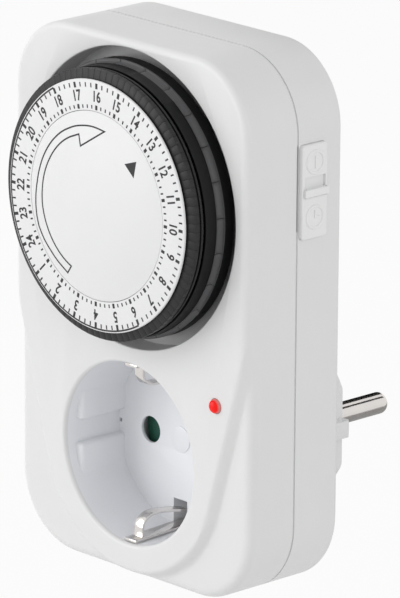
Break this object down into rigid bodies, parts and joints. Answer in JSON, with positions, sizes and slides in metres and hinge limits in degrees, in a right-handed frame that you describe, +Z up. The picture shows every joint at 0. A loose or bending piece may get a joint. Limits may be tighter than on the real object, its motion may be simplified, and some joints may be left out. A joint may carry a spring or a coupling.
{
  "type": "plug-in timer switch",
  "caption": "Mechanical plug-in timer switch with a turning segmented dial, an earthed socket with shutter, a round two-pin plug, a side slide switch and an indicator.",
  "frame": {"origin": "centre of the plug's end face, midway between the pins", "axes": "+Y the way the plug goes into the wall socket, +Z up, +X to the right seen from the front"},
  "size_m": [0.0739, 0.076, 0.1178],
  "materials": {
    "shell_white": "fine satin",
    "well_white": "smooth",
    "shutter_green": "smooth",
    "steel": "zinc plated",
    "nickel": "nickel plated",
    "contact_brass": "as rolled",
    "dial_black": "satin",
    "dial_white": "satin, printed",
    "gear_white": "smooth",
    "movement_dark": "satin",
    "motor_can": "zinc plated",
    "button_red": "smooth",
    "lens_red": "clear red",
    "board_green": "lacquered",
    "resistor_tan": "lacquered"
  },
  "bodies": {
    "housing": {"front_shell": "shell_white", "rear_shell": "shell_white", "plug_body": "shell_white", "housing_screws": "steel", "socket_well": "well_white", "socket_floor": "well_white", "shutter_cover": "well_white", "shutter_spring": "steel", "earth_clips": "nickel", "earth_link": "nickel", "plug_earth_strips": "nickel", "contact_live": "contact_brass", "contact_neutral": "contact_brass", "plug_pin_live": "nickel", "plug_pin_neutral": "nickel", "neutral_link": "contact_brass", "supply_bar": "contact_brass", "switched_bar": "contact_brass", "centre_disc": "dial_white", "dial_spindle": "steel", "thrust_washer": "steel", "movement_plate": "movement_dark", "plate_screws": "steel", "motor": "motor_can", "motor_screws": "steel", "lever_pin": "steel", "microswitch": "movement_dark", "switch_plate": "shell_white", "indicator_lens": "lens_red", "indicator_board": "board_green", "indicator_resistor": "resistor_tan"},
    "shutter_body": {"shutter": "shutter_green"},
    "dial": {"dial_drum": "dial_black", "dial_segments": "dial_black", "number_ring": "dial_white"},
    "segment_body_1": {"segment_1": "dial_black"},
    "segment_body_2": {"segment_2": "dial_black"},
    "segment_body_3": {"segment_3": "dial_black"},
    "segment_body_4": {"segment_4": "dial_black"},
    "drive": {"drive_wheel": "gear_white"},
    "transfer": {"transfer_pinion": "gear_white", "transfer_wheel": "gear_white", "transfer_arbor": "steel"},
    "rotor": {"motor_shaft": "steel", "motor_pinion": "gear_white"},
    "lever": {"trip_lever": "gear_white"},
    "button": {"switch_button": "button_red"},
    "slider": {"mode_slider": "shell_white"}
  },
  "joints": [
    {"name": "dial_turn", "type": "hinge", "parent": "housing", "child": "dial", "pos_m": [0, -0.0518, 0.0562], "axis": [0, 1, 0], "continuous": true},
    {"name": "drive_turn", "type": "hinge", "parent": "housing", "child": "drive", "pos_m": [0, -0.0433, 0.0562], "axis": [0, 1, 0], "continuous": true},
    {"name": "transfer_turn", "type": "hinge", "parent": "housing", "child": "transfer", "pos_m": [-0.01735, -0.0408, 0.03552], "axis": [0, 1, 0], "continuous": true},
    {"name": "rotor_turn", "type": "hinge", "parent": "housing", "child": "rotor", "pos_m": [-0.00985, -0.0378, 0.04851], "axis": [0, 1, 0], "continuous": true},
    {"name": "segment_1_press", "type": "slide", "parent": "dial", "child": "segment_body_1", "axis": [0, 1, 0], "range_m": [0, 0.0014]},
    {"name": "segment_2_press", "type": "slide", "parent": "dial", "child": "segment_body_2", "axis": [0, 1, 0], "range_m": [0, 0.0014]},
    {"name": "segment_3_press", "type": "slide", "parent": "dial", "child": "segment_body_3", "axis": [0, 1, 0], "range_m": [0, 0.0014]},
    {"name": "segment_4_press", "type": "slide", "parent": "dial", "child": "segment_body_4", "axis": [0, 1, 0], "range_m": [0, 0.0014]},
    {"name": "mode_slide", "type": "slide", "parent": "housing", "child": "slider", "axis": [0, 0, 1], "range_m": [0, 0.0022]},
    {"name": "lever_tilt", "type": "hinge", "parent": "housing", "child": "lever", "pos_m": [0.0227, -0.0374, 0.06], "axis": [-1, 0, 0], "range_deg": [0, 3.5]},
    {"name": "button_press", "type": "slide", "parent": "housing", "child": "button", "axis": [0, 1, 0], "range_m": [0, 0.00045]},
    {"name": "shutter_turn", "type": "hinge", "parent": "housing", "child": "shutter_body", "pos_m": [0, -0.0288, 0], "axis": [0, 1, 0], "range_deg": [0, 42], "stiffness_Nm_per_rad": 0.002, "springref_deg": -11.46}
  ],
  "couplings": [
    {"joint": "drive_turn", "follows": "dial_turn", "ratio": 1},
    {"joint": "transfer_turn", "follows": "dial_turn", "ratio": -8},
    {"joint": "rotor_turn", "follows": "dial_turn", "ratio": 32},
    {"joint": "lever_tilt", "follows": "mode_slide", "rad_per_m": 26.973},
    {"joint": "button_press", "follows": "mode_slide", "ratio": 0.18182}
  ]
}
